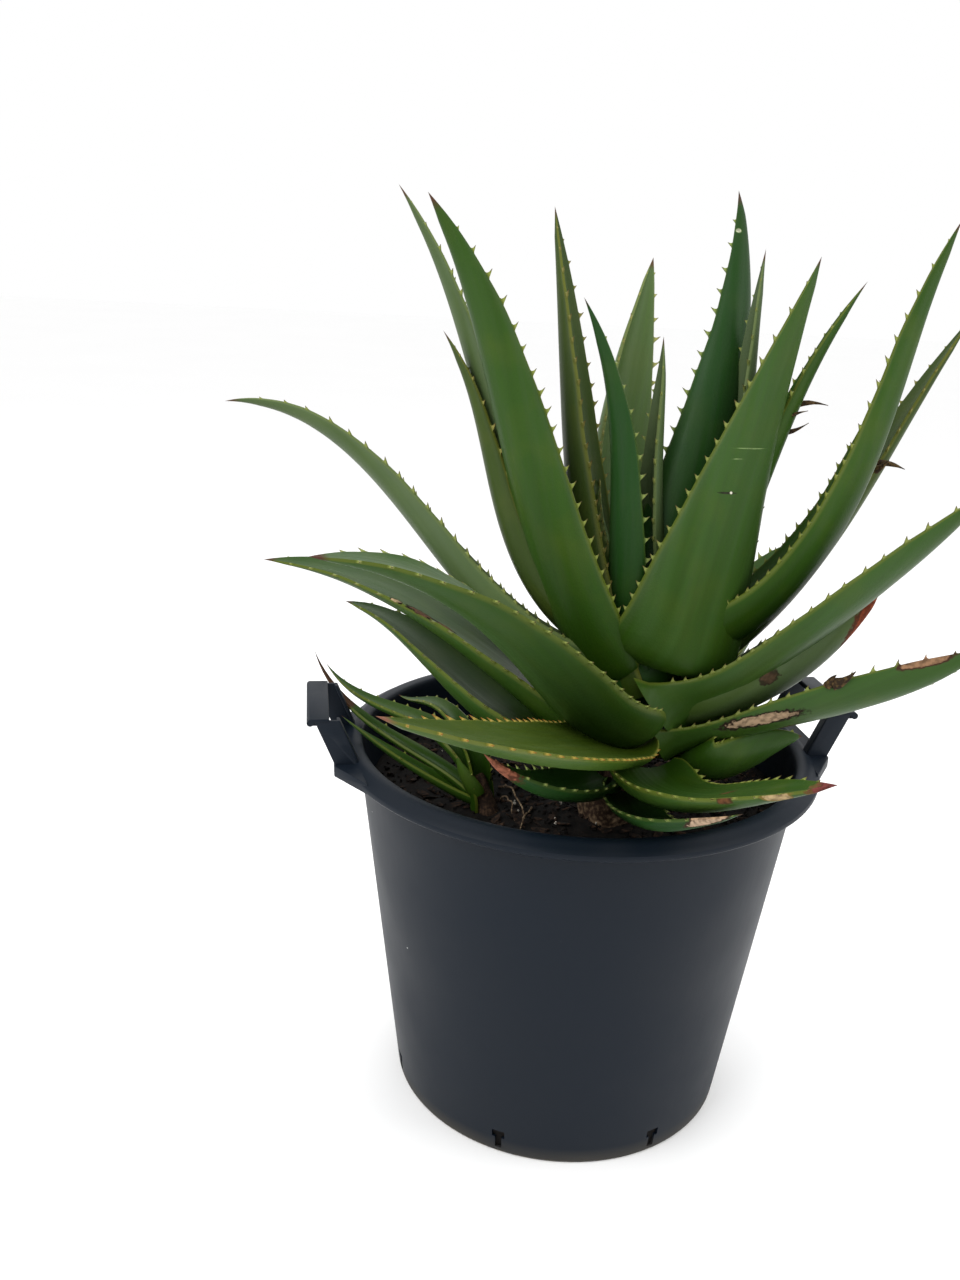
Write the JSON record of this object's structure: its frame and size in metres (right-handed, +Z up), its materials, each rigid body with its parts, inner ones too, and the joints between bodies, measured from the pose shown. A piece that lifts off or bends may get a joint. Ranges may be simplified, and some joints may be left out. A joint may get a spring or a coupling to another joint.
{
  "type": "potted candelabra aloe",
  "caption": "Large rosette aloe with toothed fleshy leaves and a small offset, growing in a tapered black nursery container with a rolled rim and two finger-grip handles.",
  "frame": {"origin": "centre of the container's flat underside, on the surface it stands on", "axes": "+Z up along the container's axis; -Y towards the side from which the plant is seen in the picture; +X to that side's right"},
  "size_m": [0.5518, 0.6009, 0.6946],
  "materials": {
    "container_plastic": "satin moulded plastic, slightly scuffed",
    "potting_soil": "crumbly, dark, with bark chips",
    "stem_bark": "dry brown leaf bases",
    "leaf_skin": "waxy green skin with paler toothed margins"
  },
  "bodies": {
    "root": {"pot": "container_plastic", "soil": "potting_soil", "stem": "stem_bark", "offset_stem": "stem_bark", "leaf_front_broad": "leaf_skin", "leaf_right_wide": "leaf_skin", "leaf_left_folded": "leaf_skin", "leaf_left_tall": "leaf_skin", "leaf_right_long": "leaf_skin", "leaf_left_front": "leaf_skin", "leaf_right_low": "leaf_skin", "leaf_right_lowest": "leaf_skin", "leaf_right_red_tip": "leaf_skin", "leaf_left_arch": "leaf_skin", "leaf_centre_tall": "leaf_skin", "leaf_right_arch_top": "leaf_skin", "leaf_right_arch_low": "leaf_skin", "leaf_left_tall_back": "leaf_skin", "leaf_rear_left": "leaf_skin", "leaf_inner_dark": "leaf_skin", "leaf_left_thin": "leaf_skin", "leaf_behind_centre": "leaf_skin", "leaf_right_slim": "leaf_skin", "leaf_left_open": "leaf_skin", "leaf_left_low": "leaf_skin", "leaf_right_under": "leaf_skin", "leaf_left_under": "leaf_skin", "leaf_rear_pale": "leaf_skin", "leaf_rear_small": "leaf_skin", "leaf_rear_arch": "leaf_skin", "leaf_rear_right": "leaf_skin", "leaf_rear_low_left": "leaf_skin", "leaf_rear_low_right": "leaf_skin", "leaf_rear_low": "leaf_skin", "offset_leaf_long": "leaf_skin", "offset_leaf_upper": "leaf_skin", "offset_leaf_lower": "leaf_skin", "offset_leaf_back": "leaf_skin", "offset_leaf_sheath": "leaf_skin"}
  },
  "joints": []
}
